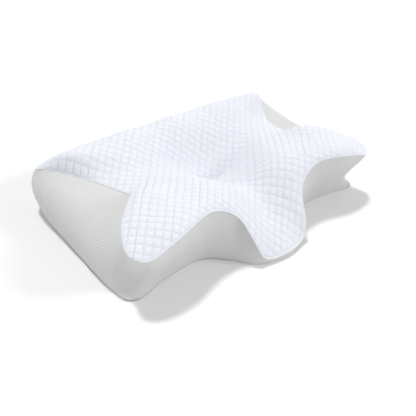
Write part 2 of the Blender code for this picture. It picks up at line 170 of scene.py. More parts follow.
PANELS = ("end_panel_right", "arch_panel_right", "arch_panel_left", "end_panel_left", "rear_panel")
PANEL_ENDS = (
    REAR_CORNER, WING_CORNER, FRONT_CENTRE, SPANS - WING_CORNER, SPANS - REAR_CORNER, SPANS + REAR_CORNER,
)
PANEL_MARGIN = 0.0008
BAND_STEP = 2.0 * MM
BAND_ROWS = 56
BAND_SPAN = (0.004, 0.985)
TUCK_DEPTH = 0.6 * MM
TUCK_WIDTH = 1.6 * MM
GATHER_DEPTH = 0.12 * MM
GATHER_PITCH = 7.5 * MM
BAND_SLACK = 0.5 * MM
DART_WIDTH = 7 * MM
DART_LENGTH = 40 * MM
DART_RISE = 1.2 * MM
UNDERSIDE_STEP = 4 * MM
UNDERSIDE_RINGS = (0.994, 0.985, 0.96, 0.9, 0.8, 0.68, 0.55, 0.42, 0.28, 0.14)
UNDERSIDE_LIFTS = (0.9 * MM, 0.25 * MM)
INSIDE_STEP = 7 * MM
INSIDE_TOP = (0.02, 0.1, 0.2, 0.3, 0.4, 0.5, 0.6, 0.7, 0.78, 0.85, 0.9, 0.94, 0.97)
INSIDE_BAND_ROWS = 15
INSIDE_UNDER = (0.97, 0.8, 0.6, 0.4, 0.2, 0.02)

# ---- sizes of the zip and the label ----

REAR_PLANE = 20.2 * CM
ZIP_HEIGHT = 4.0 * CM
SLOT_LENGTH = 400 * MM
SLOT_HEIGHT = 20 * MM
SLOT_REACH = 12 * MM
TAPE_ROUNDING = 0.35 * MM
COIL_PITCH = 1.5 * MM
COIL_WIRE = 0.42 * MM
STOP_WAIST = 0.22
STOP_PINCH = 0.25 * MM
SLIDER_REST = 189 * MM
SLIDER_PLATE = 1.2 * MM
HALF_SHIELD = ((-1.0, 0.55), (-0.8, 0.8), (-0.3, 0.84), (0.25, 0.95), (0.8, 1.0), (1.0, 0.72))
BRIDGE_RISE = 4.0 * MM
BRIDGE_REACH = 4.0 * MM
BRIDGE_RADIUS = 0.5 * MM
BRIDGE_FLATNESS = 2.2
METAL_EDGE = 0.25 * MM
FLANGE_EDGE = 0.2 * MM
PULL_HALF_THICKNESS = 0.6 * MM
PULL_ARM_LENGTH = 8.2 * MM
PULL_ARM_RADIUS = 0.6 * MM
PULL_BAR_RADIUS = 0.75 * MM
SEAM_OUTSIDE = 3.2 * MM
SEAM_INSIDE = 2.2 * MM
LIP_RADIUS = 0.85 * MM
LABEL_BOW = 0.9 * MM
LABEL_RIPPLE = 0.12 * MM
LABEL_THICKNESS = 0.4 * MM
LABEL_SEAM = 1.6 * MM

# ---- camera, light and floor ----

PICTURE_SIZE = 416
FOCAL_PIXELS = 584
SENSOR_WIDTH = 36
CAMERA_SHIFT = (-0.0276, -0.0063)
CAMERA_TURN = (-48.5, 36.5, 9.0)
CAMERA_DISTANCE = 1.16
STUDIO_SIDES = 96
FLOOR_RADIUS = 4.0
COVE = 1.8


# ---- curves and the height of the top ----

def whole_ring(half):
    """A half outline and the same values again on the other side."""
    half = np.array(half) * CM
    return np.concatenate([half, half[-2:0:-1]])


def mirrored_ring(half):
    """A half outline and its mirror image across the middle of the pillow."""
    ring = whole_ring(half)
    ring[len(half):, 0] *= -1.0
    return ring


def ring_curve(points, places):
    """A centripetal Catmull-Rom curve through a closed ring, read at fractional point numbers."""
    start = np.floor(places).astype(int)
    t = (places - start)[:, None]
    p0, p1, p2, p3 = (points[(start + k) % len(points)] for k in (-1, 0, 1, 2))
    gaps = [np.linalg.norm(b - a, axis=1) for a, b in ((p0, p1), (p1, p2), (p2, p3))]
    d0, d1, d2 = (np.maximum(np.sqrt(gap), TINY)[:, None] for gap in gaps)
    m1 = p2 - p1 + d1 * ((p1 - p0) / d0 - (p2 - p0) / (d0 + d1))
    m2 = p2 - p1 + d1 * ((p3 - p2) / d2 - (p3 - p1) / (d1 + d2))
    cubic = 2 * (p1 - p2) + m1 + m2
    square = 3 * (p2 - p1) - 2 * m1 - m2
    return ((cubic * t + square) * t + m1) * t + p1


def thin_plate(known):
    """A smooth height function through known points (x, y, z)."""
    def terms(points):
        squared = ((points[:, None, :2] - known[None, :, :2]) ** 2).sum(2)
        bends = squared * np.log(squared + TINY) / 2
        return np.column_stack([bends, np.ones(len(points)), points[:, :2]])

    plane = np.column_stack([np.ones(len(known)), known[:, :2]])
    system = np.concatenate([terms(known), np.column_stack([plane.T, np.zeros((3, 3))])])
    weights = np.linalg.solve(system, np.append(known[:, 2], np.zeros(3)))
    return lambda points: terms(points) @ weights


SEAMS, BASES, FROM_SEAMS, FROM_BASES = zip(*OUTLINE)
SEAM_RING = mirrored_ring(SEAMS)
BASE_RING = mirrored_ring([(*base, 0.0) for base in BASES])
FROM_SEAM = whole_ring(FROM_SEAMS)
FROM_BASE = whole_ring(FROM_BASES)


def reach_and_angle(points):
    """How far each point is from the middle of the bowl, and in which direction."""
    level = points[:, :2] - BOWL_CENTRE
    return np.linalg.norm(level, axis=1), np.arctan2(level[:, 1], level[:, 0])


class Top:
    """The smooth top: its height and outward direction anywhere inside the seam."""

    def __init__(self):
        crown = np.array(LANDMARKS) * CM
        mirrored = crown[crown[:, 0] > 0] * (-1, 1, 1)
        self.plate = thin_plate(np.concatenate([crown, mirrored, SEAM_RING + (0, 0, EDGE_ROLL)]))
        seam = ring_curve(SEAM_RING, np.arange(SEAM_SAMPLES) * SPANS / SEAM_SAMPLES)
        self.reach, self.angle = reach_and_angle(seam)
        self.residual = seam[:, 2] - (self.plate(seam) - EDGE_ROLL)

    def around(self, values, angle):
        """The seam's value in these directions from the middle of the bowl."""
        return np.interp(angle, self.angle, values, period=2 * math.pi)

    def fraction(self, points):
        """How far out each point lies, 0 at the middle of the bowl and 1 at the seam."""
        reach, angle = reach_and_angle(points)
        return reach / self.around(self.reach, angle)

    def height(self, points):
        fraction = np.minimum(self.fraction(points), 1.0)
        residual = self.around(self.residual, reach_and_angle(points)[1])
        roll = EDGE_ROLL * fraction ** EDGE_ROLL_POWER
        return self.plate(points) - roll + residual * fraction ** SEAM_BLEND_POWER

    def raised(self, points):
        """The level points at their height on the top."""
        return np.column_stack([points, self.height(points)])

    def outward(self, points):
        """The outward direction of the top at level points."""
        step = 0.5 * MM
        rise = [
            (self.height(points + shift) - self.height(points - shift)) / (2 * step)
            for shift in np.eye(2) * step
        ]
        outward = np.column_stack([-rise[0], -rise[1], np.ones(len(points))])
        return outward / np.linalg.norm(outward, axis=1)[:, None]


TOP = Top()


def quilt_map(points):
    """How far each level place lies across the two sets of stitch lines, in metres."""
    return points @ STITCH_WAYS.T + QUILT_SHIFT


def quilt_place(cloth):
    """The level places with these distances across the stitch lines."""
    return (cloth - QUILT_SHIFT) @ np.linalg.inv(STITCH_WAYS).T


def level_from_centre(points):
    """How far out from the middle of the bowl each point is, and the level direction to it."""
    level = points[..., :2] - BOWL_CENTRE
    reach = np.linalg.norm(level, axis=-1, keepdims=True)
    return reach, np.concatenate([level / np.maximum(reach, TINY), np.zeros_like(reach)], axis=-1)


def inward_steps(rings):
    """For each point, the step inward for one unit of depth, as in the CAD."""
    reach, direction = level_from_centre(rings)
    share = LEVEL_SHARE * np.clip((reach - BOWL_REACH) / BOWL_REACH, 0.0, 1.0)
    rise = np.clip((rings[..., 2] - MIDDLE_HEIGHT) / MIDDLE_HEIGHT, -1.0, 1.0)
    steps = -direction * share
    steps[..., 2] = -rise
    return steps


def band_rings(places, fractions):
    """A grid of points on the band: a row for each fraction of the way down."""
    seam = ring_curve(SEAM_RING, places)
    base = ring_curve(BASE_RING, places)
    from_seam = ring_curve(FROM_SEAM, places)
    from_base = ring_curve(FROM_BASE, places)
    _, side = level_from_centre(base)
    up = np.array([0.0, 0.0, 1.0])
    near_seam = seam + side * from_seam[:, :1] - up * from_seam[:, 1:]
    near_base = base + side * from_base[:, :1] + up * from_base[:, 1:]
    down = np.asarray(fractions)[:, None, None]
    left = 1.0 - down
    return (
        seam * left ** 3
        + near_seam * 3 * left ** 2 * down
        + near_base * 3 * left * down ** 2
        + base * down ** 3
    )


def lengths_along(path):
    """How far along a path each of its points is."""
    return np.concatenate([[0.0], np.cumsum(np.linalg.norm(np.diff(path, axis=0), axis=1))])


def even_places(ring, spacing, start=0.0, end=SPANS):
    """Places on a ring curve about this far apart in real length."""
    fine = np.linspace(start, end, 2400)
    length = lengths_along(ring_curve(ring, fine))
    count = max(int(round(length[-1] / spacing)), 2)
    return np.interp(np.linspace(0.0, length[-1], count + 1), length, fine)


def even_ring(ring, spacing):
    """Places all the way round a ring, and the points there."""
    places = even_places(ring, spacing)[:-1]
    return places, ring_curve(ring, places)


def waves(points, size, seed):
    """Smooth unevenness between about -1 and 1, with bumps about this size."""
    random = np.random.default_rng(seed)
    total = np.zeros(len(points))
    count = 14
    for _ in range(count):
        direction = random.normal(size=points.shape[1])
        direction *= 2 * math.pi / (size * random.uniform(0.7, 1.6)) / np.linalg.norm(direction)
        total += np.sin(points @ direction + random.uniform(0, 2 * math.pi))
    return total / math.sqrt(count)


def smooth_step(value, low, high):
    t = np.clip((value - low) / (high - low), 0.0, 1.0)
    return t * t * (3 - 2 * t)


# ---- making objects ----

def add_object(name, data):
    made = bpy.data.objects.new(name, data)
    bpy.context.collection.objects.link(made)
    return made


def add_mesh(name, points, faces, look, uv=None, sharp=None):
    """A smooth piece whose faces look outward; uv has a pair for each point, sharp is in degrees."""
    mesh = bpy.data.meshes.new(name)
    mesh.from_pydata(np.asarray(points).tolist(), [], faces)
    if uv is not None:
        layer = mesh.uv_layers.new(name="cloth")
        corners = np.empty(len(mesh.loops), int)
        mesh.loops.foreach_get("vertex_index", corners)
        layer.data.foreach_set("uv", np.asarray(uv, float)[corners].ravel())
    mesh.validate()
    maker = bmesh.new()
    maker.from_mesh(mesh)
    bpy.data.meshes.remove(mesh)
    bmesh.ops.recalc_face_normals(maker, faces=maker.faces)
    return add_bmesh(name, maker, look, sharp)


def add_bmesh(name, maker, look, sharp=40):
    """A smooth piece from a bmesh, with creases where its faces meet at more than an angle."""
    mesh = bpy.data.meshes.new(name)
    maker.to_mesh(mesh)
    maker.free()
    mesh.materials.append(LOOKS[look])
    mesh.shade_smooth()
    if sharp is not None:
        mesh.set_sharp_from_angle(angle=math.radians(sharp))
    return add_object(name, mesh)


def show(piece, slot, *nodes, body="pillow"):
    """The piece rides on a body and stands for the named CAD nodes, which it hides; slot is not used."""
    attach(piece, body)
    if nodes:
        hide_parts(*nodes)


def grid_faces(rows, columns, wrap, first=0, loop=False):
    """Quads of a grid of numbered points; a loop also joins its last row to its first."""
    r, c = np.meshgrid(
        np.arange(rows if loop else rows - 1), np.arange(columns if wrap else columns - 1), indexing="ij"
    )
    below = (r + 1) % rows
    right = (c + 1) % columns
    corners = [r * columns + c, r * columns + right, below * columns + right, below * columns + c]
    return (np.stack(corners).reshape(4, -1).T + first).tolist()


def capped(rings):
    """Points and faces of the solid that runs through rings of points, flat at both ends."""
    rows, columns, _ = rings.shape
    faces = grid_faces(rows, columns, True)
    faces.append(tuple(range(columns)))
    faces.append(tuple(range((rows - 1) * columns, rows * columns)))
    return rings.reshape(-1, 3), faces


def closed_sheet(outer, inner, wrap):
    """Points and faces of the closed solid between two grids of the same shape."""
    rows, columns, _ = outer.shape
    faces = grid_faces(2 * rows, columns, wrap, loop=True)
    if not wrap:
        for row in range(rows - 1):
            opposite = 2 * rows - 1 - row
            for column in (0, columns - 1):
                faces.append([k * columns + column for k in (row, row + 1, opposite - 1, opposite)])
    return np.concatenate([outer, inner[::-1]]).reshape(-1, 3), faces


def tube_along(path, radius, sides, loop=True, squash=1.0, over=(0.0, 0.0, 1.0)):
    """Points and faces of a tube along a path that never runs along over; its radius may vary."""
    path = np.asarray(path, float)
    count = len(path)
    if loop:
        along = np.roll(path, -1, axis=0) - np.roll(path, 1, axis=0)
    else:
        along = np.gradient(path, axis=0)
    along /= np.linalg.norm(along, axis=1)[:, None]
    side = np.cross(along, over)
    side /= np.linalg.norm(side, axis=1)[:, None]
    up = np.cross(side, along)
    radius = np.broadcast_to(radius, count)[:, None]
    turns = np.arange(sides) * 2 * math.pi / sides
    circle = [path + radius * (math.cos(a) * side + squash * math.sin(a) * up) for a in turns]
    rings = np.stack(circle, axis=1)
    if loop:
        return rings.reshape(-1, 3), grid_faces(count, sides, True, loop=True)
    return capped(rings)


def sew(name, rows, look, slot):
    """Straight rows of short stitches on the rear face, each stitch sunk at both ends."""
    lift = np.sin(np.linspace(0, math.pi, STITCH_STEPS)) * STITCH_RISE - STITCH_SUNK
    points, faces = [], []
    for start, end in rows:
        way = np.subtract(end, start)
        length = np.linalg.norm(way)
        reached = STITCH_GAP
        while reached + STITCH_LENGTH < length:
            along = np.linspace(reached, reached + STITCH_LENGTH, STITCH_STEPS) / length
            dash = start + way * along[:, None]
            dash[:, 1] += lift
            stitch, stitch_faces = tube_along(dash, STITCH_RADIUS, 6, loop=False)
            faces += [[len(points) + k for k in face] for face in stitch_faces]
            points += stitch.tolist()
            reached += STITCH_LENGTH + STITCH_GAP
    show(add_mesh(name, points, faces, look), slot)



# ---- materials ----

def as_rgba(value):
    return (*value, 1.0) if isinstance(value, tuple) else value


def shaded(colour, factor):
    return tuple(part * factor for part in colour)


class Look:
    """A Principled material with short ways to add and link nodes."""

    def __init__(self, name, colour, roughness, **inputs):
        self.material = bpy.data.materials.new(name)
        self.material.use_nodes = True
        self.tree = self.material.node_tree
        self.shader = self.tree.nodes["Principled BSDF"]
        self.shader.inputs["Base Color"].default_value = as_rgba(colour)
        self.shader.inputs["Roughness"].default_value = roughness
        for key, value in inputs.items():
            self.shader.inputs[key.replace("_", " ")].default_value = value
        self.where = self.add("TexCoord", {}).outputs["Object"]

    def add(self, kind, inputs, **settings):
        """Adds a node; inputs are values or other nodes' sockets, keyed by name or number."""
        node = self.tree.nodes.new("ShaderNode" + kind)
        for key, value in settings.items():
            setattr(node, key, value)
        for key, value in inputs.items():
            if isinstance(value, bpy.types.NodeSocket):
                self.tree.links.new(value, node.inputs[key])
            else:
                node.inputs[key].default_value = value
        return node

    def maths(self, operation, *values):
        return self.add("Math", dict(enumerate(values)), operation=operation).outputs[0]

    def times(self, *values):
        return self.maths("MULTIPLY", *values)

    def vector(self, operation, *values):
        node = self.add("VectorMath", dict(enumerate(values)), operation=operation)
        return node.outputs["Value" if operation == "LENGTH" else "Vector"]

    def cloth(self):
        return self.add("UVMap", {}, uv_map="cloth").outputs["UV"]

    def noise(self, scale, detail=2.0, where=None):
        inputs = {"Vector": self.where if where is None else where, "Scale": scale, "Detail": detail}
        return self.add("TexNoise", inputs).outputs[0]

    def wave(self, where, way, scale, distortion=0.0, detail=2.0):
        inputs = {"Vector": where, "Scale": scale, "Distortion": distortion, "Detail": detail}
        return self.add("TexWave", inputs, wave_type="BANDS", bands_direction=way).outputs[1]

    def ramp(self, value, from_low, from_high, to_low, to_high):
        """Maps the values between two numbers smoothly onto those between two others."""
        limits = {"From Min": from_low, "From Max": from_high, "To Min": to_low, "To Max": to_high}
        node = self.add("MapRange", {"Value": value, **limits}, interpolation_type="SMOOTHSTEP")
        return node.outputs[0]

    def spread(self, noise, low, high):
        """Spreads a noise's usual values between two numbers."""
        return self.ramp(noise, 0.3, 0.7, low, high)

    def mix(self, factor, first, second):
        inputs = {0: factor, 6: as_rgba(first), 7: as_rgba(second)}
        return self.add("Mix", inputs, data_type="RGBA").outputs[2]

    def finish(self, colour, rough=None, *bumps):
        """Links the colour, roughness and bumps, each (height, metres), coarsest first."""
        self.tree.links.new(colour, self.shader.inputs["Base Color"])
        if rough is not None:
            self.tree.links.new(rough, self.shader.inputs["Roughness"])
        shader = self.shader
        for height, distance in reversed(bumps):
            node = self.add("Bump", {"Height": height, "Distance": distance, "Strength": 1.0})
            self.tree.links.new(node.outputs[0], shader.inputs["Normal"])
            shader = node
        return self.material

    def hex_distance(self, where, pitch):
        """The distance to the nearest place of a staggered grid, in pitches."""
        tall = math.sqrt(3)
        cells = self.vector("MULTIPLY", where, (1 / pitch, 1 / pitch / tall, 0.0))
        found = []
        for shift in ((0.0, 0.0, 0.0), (0.5, 0.5, 0.0)):
            part = self.vector("FRACTION", self.vector("ADD", cells, shift))
            away = self.vector("SUBTRACT", part, (0.5, 0.5, 0.0))
            found.append(self.vector("LENGTH", self.vector("MULTIPLY", away, (1.0, tall, 0.0))))
        return self.maths("MINIMUM", *found)


def wave_scale(pitch):
    """The wave texture's scale for bands this far apart; at scale 1 it has 20 / 2 pi bands a metre."""
    return 1 / pitch / 3.1831


def quilt_look():
    """White knit with sewn diamond lines and painted shade along them; the cloth map is in metres across the
    two sets of lines.
    """
    look = Look(
        "quilted_white_knit", (0.75, 0.77, 0.81), 0.85,
        Sheen_Weight=0.15, Sheen_Roughness=0.4, Specular_IOR_Level=0.25,
    )
    cloth = look.cloth()
    split = look.add("SeparateXYZ", {"Vector": cloth})
    lines = []
    dashes = []
    for own, other in ((0, 1), (1, 0)):
        from_line = look.times(look.maths("PINGPONG", split.outputs[own], QUILT_CELL / 2), 1 / MM)
        along = look.times(look.maths("PINGPONG", split.outputs[other], STITCH_LENGTH), 1 / MM)
        lines.append(from_line)
        on_line = look.ramp(from_line, 0.18, 0.32, 1.0, 0.0)
        dashes.append(look.times(on_line, look.ramp(along, 0.5, 0.8, 0.0, 1.0)))
    line = look.maths("MINIMUM", *lines)
    thread = look.maths("MAXIMUM", *dashes)
    # painted shade: the colour darkens along the stitch lines, where the quilting sinks in
    painted_groove_shade = look.ramp(line, 0.2, 0.9, 1.0, 0.0)
    fuzz = look.noise(900.0)
    base = look.mix(look.noise(9.0), (0.72, 0.74, 0.80), (0.77, 0.785, 0.82))
    base = look.mix(look.ramp(fuzz, 0.35, 0.7, 0.0, 0.10), base, (0.62, 0.64, 0.71))
    base = look.mix(look.times(painted_groove_shade, 0.26), base, (0.46, 0.48, 0.58))
    loops = look.ramp(look.hex_distance(cloth, 0.9 * MM), 0.15, 0.5, 1.0, 0.0)
    pucker = look.wave(cloth, "DIAGONAL", 120.0, 6.0, 1.0)
    pucker = look.times(pucker, look.ramp(line, 0.3, 4.0, 1.0, 0.0))
    colour = look.mix(look.times(thread, 0.5), base, (0.82, 0.83, 0.86))
    return look.finish(
        colour, look.spread(fuzz, 0.78, 0.95),
        (pucker, 0.35 * MM), (thread, 0.25 * MM), (loops, 0.08 * MM),
    )


def mesh_look(name, light, painted_hole_shade, pitch):
    """Knitted air mesh: staggered small holes between raised yarns, painted darker as shade inside them."""
    look = Look(name, light, 0.9, Sheen_Weight=0.1, Sheen_Roughness=0.6, Specular_IOR_Level=0.2)
    cloth = look.cloth()
    holes = look.ramp(look.hex_distance(cloth, pitch), 0.16, 0.36, 1.0, 0.0)
    yarn = look.noise(1600.0)
    base = look.mix(look.spread(look.noise(14.0, 3.0), 0.0, 1.0), light, shaded(light, 0.955))
    base = look.mix(look.spread(yarn, 0.0, 0.16), base, shaded(light, 0.75))
    ribs = look.wave(cloth, "Y", wave_scale(pitch * math.sqrt(3) / 2), 0.4)
    # painted shade: the holes take the darker colour, as shade inside them
    colour = look.mix(holes, base, painted_hole_shade)
    return look.finish(
        colour, look.spread(yarn, 0.82, 0.98),
        (look.times(holes, -1.0), 0.35 * MM), (ribs, 0.07 * MM), (yarn, 0.10 * MM),
    )


def edge_look(name, colour, shade):
    """Smooth turned cloth over a cord, with a fine twill."""
    look = Look(name, colour, 0.75, Sheen_Weight=0.2, Sheen_Roughness=0.4, Specular_IOR_Level=0.3)
    fine = look.noise(1400.0)
    base = look.mix(look.spread(look.noise(40.0), 0.0, 0.5), colour, shade)
    twill = look.wave(look.where, "DIAGONAL", 420.0, 1.0)
    colour = look.mix(look.spread(fine, 0.0, 0.2), base, shade)
    return look.finish(colour, look.spread(fine, 0.68, 0.85), (twill, 0.10 * MM), (fine, 0.06 * MM))


def woven_look(name, colour, shade, pitch, roughness):
    """A plain weave: two crossed sets of threads."""
    look = Look(name, colour, roughness, Sheen_Weight=0.1)
    weave = look.times(*[look.wave(look.where, way, wave_scale(pitch), 0.5) for way in ("X", "Z")])
    fine = look.noise(1800.0)
    base = look.mix(look.ramp(weave, 0.1, 0.8, 0.6, 0.0), colour, shade)
    colour = look.mix(look.spread(fine, 0.0, 0.25), base, shade)
    return look.finish(
        colour, look.spread(fine, roughness - 0.08, roughness + 0.08),
        (weave, 0.12 * MM), (fine, 0.05 * MM),
    )


def jersey_look():
    """Thin knitted jersey with fine ribs."""
    look = Look("liner_jersey", (0.82, 0.82, 0.80), 0.9, Sheen_Weight=0.15)
    ribs = look.wave(look.where, "X", 260.0, 1.5)
    fine = look.noise(1200.0)
    base = look.mix(look.ramp(ribs, 0.2, 0.8, 0.35, 0.0), (0.82, 0.82, 0.80), (0.62, 0.62, 0.60))
    colour = look.mix(look.noise(12.0, 3.0), base, (0.77, 0.77, 0.74))
    return look.finish(colour, look.spread(fine, 0.82, 0.97), (ribs, 0.15 * MM), (fine, 0.08 * MM))


def foam_look():
    """Open-cell foam: a fine pitted skin in pale cream, with painted shade in the pits."""
    look = Look("memory_foam", (0.88, 0.84, 0.70), 0.88, Subsurface_Weight=0.05)
    pores, large = (
        look.add("TexVoronoi", {"Vector": look.where, "Scale": scale}).outputs[0] for scale in (700.0, 160.0)
    )
    pits = look.ramp(pores, 0.05, 0.35, 1.0, 0.0)
    base = look.mix(look.noise(10.0, 3.0), (0.90, 0.86, 0.74), (0.84, 0.79, 0.62))
    # painted shade: the pits take a darker brown, as shade inside them
    colour = look.mix(look.times(pits, 0.5), base, (0.60, 0.54, 0.38))
    return look.finish(
        colour, look.ramp(pores, 0.0, 0.5, 0.95, 0.8),
        (look.ramp(large, 0.0, 0.3, 0.0, 1.0), 0.2 * MM), (look.times(pits, -1.0), 0.3 * MM),
    )


def metal_look():
    """Satin plated zinc with fine scratches and duller worn patches."""
    look = Look("satin_zinc", (0.66, 0.66, 0.68), 0.3, Metallic=1.0)
    stretched = look.vector("MULTIPLY", look.where, (120.0, 2500.0, 2500.0))
    scratches = look.noise(1.0, 3.0, stretched)
    broad = look.noise(350.0, 3.0)
    worn = look.ramp(broad, 0.35, 0.7, 0.0, 0.6)
    colour = look.mix(worn, (0.68, 0.68, 0.70), (0.50, 0.50, 0.52))
    return look.finish(
        colour, look.ramp(scratches, 0.3, 0.75, 0.22, 0.5),
        (scratches, 0.03 * MM), (broad, 0.04 * MM),
    )


def coil_look():
    """Smooth grey nylon."""
    look = Look("zip_coil_nylon", (0.56, 0.56, 0.58), 0.35)
    broad = look.noise(260.0)
    colour = look.mix(broad, (0.60, 0.60, 0.62), (0.48, 0.48, 0.50))
    return look.finish(colour, look.spread(broad, 0.3, 0.5), (look.noise(3000.0), 0.03 * MM))


def thread_look(name, colour):
    """Twisted sewing thread."""
    look = Look(name, colour, 0.55, Sheen_Weight=0.2)
    twist = look.wave(look.where, "DIAGONAL", 900.0)
    colour = look.mix(twist, colour, shaded(colour, 0.8))
    return look.finish(colour, look.ramp(twist, 0.0, 1.0, 0.5, 0.7), (twist, 0.06 * MM))


def floor_look():
    """Matt white paper."""
    look = Look("pale_floor", (0.80, 0.80, 0.80), 0.9, Specular_IOR_Level=0.05)
    colour = look.mix(look.noise(1.5, 3.0), (0.795, 0.795, 0.795), (0.805, 0.805, 0.805))
    return look.finish(colour)


LOOKS = {
    "quilt": quilt_look(),
    # the second colour of each mesh is the painted shade in its holes
    "band": mesh_look("grey_air_mesh", (0.68, 0.68, 0.675), (0.545, 0.545, 0.54), 3.4 * MM),
    "base": mesh_look("grey_underside", (0.58, 0.575, 0.565), (0.42, 0.415, 0.41), 3.6 * MM),
    "edge": edge_look("white_edge", (0.82, 0.83, 0.86), (0.74, 0.76, 0.81)),
    "grey_edge": edge_look("grey_edge", (0.69, 0.69, 0.685), (0.60, 0.60, 0.595)),
    "tape": woven_look("zip_tape", (0.50, 0.50, 0.51), (0.34, 0.34, 0.35), 0.9 * MM, 0.8),
    "label": woven_look("label_satin", (0.86, 0.86, 0.86), (0.74, 0.74, 0.74), 0.35 * MM, 0.5),
    "liner": jersey_look(),
    "foam": foam_look(),
    "metal": metal_look(),
    "coil": coil_look(),
    "grey_thread": thread_look("grey_thread", (0.50, 0.50, 0.50)),
    "white_thread": thread_look("white_thread", (0.85, 0.85, 0.85)),
    "floor": floor_look(),
}


# ---- the quilted top ----

def quilt_puff(cloth, points, fraction):
    """How far the quilting stands out at each point: full in a cell's middle, nothing on its lines."""
    p, q = abs(np.sin(math.pi * cloth.T / QUILT_CELL))
    swell = (p * q) ** QUILT_SQUARENESS
    across, along = np.floor(cloth / QUILT_CELL).T
    uneven = 1 + QUILT_UNEVENNESS * np.sin(across * 12.9898 + along * 78.233 + across * along)
    from_seam = reach_and_angle(points)[0] * (1 / np.maximum(fraction, TINY) - 1)
    at_seam = smooth_step(from_seam, 0.0, QUILT_FADE)
    in_bowl = BOWL_PUFF + (1 - BOWL_PUFF) * smooth_step(fraction, 0.10, 0.42)
    return QUILT_PUFF * swell * uneven * at_seam * in_bowl


def bowl_folds(points):
    """Two short folds at the foot of the neck ridge, where the cloth gathers in the bowl."""
    depth = np.zeros(len(points))
    share = np.sin(np.linspace(0.08, 0.92, FOLD_SAMPLES) * math.pi) ** 0.7
    for fold in BOWL_FOLDS:
        places = np.linspace(0, len(fold) - 1.001, FOLD_SAMPLES)
        line = ring_curve(np.array(fold) * CM, places)
        distance = np.linalg.norm(points[:, None] - line[None], axis=2)
        near = share * np.exp(-(distance / FOLD_WIDTH) ** 2)
        depth = np.maximum(depth, near.max(axis=1))
    return FOLD_DEPTH * depth


def inside_polygon(points, ends):
    """For each point, whether it is inside the closed lines between pairs of ends."""
    inside = np.zeros(len(points), bool)
    x, y = points.T
    for (x0, y0), (x1, y1) in ends:
        if y0 != y1:
            crosses = (y0 > y) != (y1 > y)
            inside ^= crosses & (x < (x1 - x0) * (y - y0) / (y1 - y0) + x0)
    return inside


def quilt_lattice():
    """Level points on a lattice along the stitch lines, and the quads between them."""
    step = QUILT_CELL / CELL_STEPS
    reach = int(LATTICE_SIDE / step)
    lines = np.arange(-reach, reach + 1) * step
    cloth = np.stack(np.meshgrid(lines, lines, indexing="ij"), axis=-1)
    points = quilt_place(cloth.reshape(-1, 2))
    kept = TOP.fraction(points) < LATTICE_REACH
    quads = np.array(grid_faces(len(lines), len(lines), False))
    used, renumbered = np.unique(quads[kept[quads].all(axis=1)], return_inverse=True)
    return points[used], renumbered.reshape(-1, 4)


def open_edges(quads):
    """The edges that only one quad has."""
    edges = np.concatenate([quads[:, [k, (k + 1) % 4]] for k in range(4)])
    _, first, count = np.unique(np.sort(edges, axis=1), axis=0, return_index=True, return_counts=True)
    return edges[first[count == 1]]


def filled_strip(lattice, border, ring):
    """Triangles between the lattice's ragged border and the ring of points round it."""
    used, renumbered = np.unique(border, return_inverse=True)
    edges = renumbered.reshape(-1, 2).tolist()
    first = len(used)
    count = len(ring)
    edges += [(first + k, first + (k + 1) % count) for k in range(count)]
    coords = [Vector(p) for p in np.concatenate([lattice[used], ring]).tolist()]
    points, _, faces, origins, _, _ = delaunay_2d_cdt(coords, edges, [], 0, 1e-7)
    places = np.array([list(p) for p in points])
    middles = np.array([places[list(face)].mean(axis=0) for face in faces])
    ring_ends = zip(ring, np.roll(ring, -1, axis=0))
    wanted = inside_polygon(middles, ring_ends) & ~inside_polygon(middles, lattice[border])
    numbers = np.concatenate([used, np.arange(count) + len(lattice)])
    return [[int(numbers[origins[k][0]]) for k in face] for face, keep in zip(faces, wanted) if keep]


def make_quilt():
    """The quilted surface, its turned edge and the plain back of the cloth."""
    lattice, quads = quilt_lattice()
    seam = even_ring(SEAM_RING, EDGE_SPACING)[1]
    columns = len(seam)
    level = seam[:, :2] - BOWL_CENTRE
    rings = [BOWL_CENTRE + level * fraction for fraction in TURNED_EDGE]
    upper = np.concatenate([lattice, *rings])
    cloth = quilt_map(upper)
    fraction = TOP.fraction(upper)
    puff = quilt_puff(cloth, upper, fraction) - bowl_folds(upper)
    puff += waves(upper, 55 * MM, 3) * TOP_SLACK * (1 - fraction ** 6)
    back = []
    for share in QUILT_BACK:
        ring = TOP.raised(BOWL_CENTRE + level * share)
        back.append(ring + inward_steps(ring) * COVER)
    pole = TOP.raised(BOWL_CENTRE[None]) - (0, 0, COVER)
    points = np.concatenate([TOP.raised(upper) + TOP.outward(upper) * puff[:, None], *back, pole])
    faces = quads.tolist() + filled_strip(lattice, open_edges(quads), rings[0])
    faces += grid_faces(len(rings) + len(back), columns, True, len(lattice))
    last = len(points) - 1
    faces += [(last - columns + (k + 1) % columns, last - columns + k, last) for k in range(columns)]
    quilt = add_mesh("quilted_top", points, faces, "quilt", quilt_map(points[:, :2]))
    show(quilt, "quilt", "top_panel")


# ---- the edges ----

def rolled_under(places):
    """How much of the piping shows: least along a wing's outer side, where the top rolls over it."""
    half = FRONT_CENTRE - abs(places - FRONT_CENTRE)
    past_waist = smooth_step(half, WAIST - 0.5, WAIST + 0.5)
    before_corner = 1 - smooth_step(half, WING_CORNER - 0.6, WING_CORNER)
    return 1 - PIPING_HIDDEN * past_waist * before_corner


def make_edges():
    """The piping round the top and the binding round the foot of the band."""
    places, path = even_ring(SEAM_RING, PIPING_SPACING)
    radius = PIPING_RADIUS * (1 + 0.06 * waves(path, 18 * MM, 5)) * rolled_under(places)
    piping = add_mesh("seam_piping", *tube_along(path, radius, 10), "edge")
    show(piping, "edge", "top_piping")
    path = even_ring(BASE_RING, BINDING_SPACING)[1] + (0, 0, BINDING_RADIUS)
    tube = tube_along(path, BINDING_RADIUS, 8)
    binding = add_mesh("lower_edge_binding", *tube, "grey_edge")
    show(binding, "band", "base_binding")


# ---- the mesh band and the underside ----

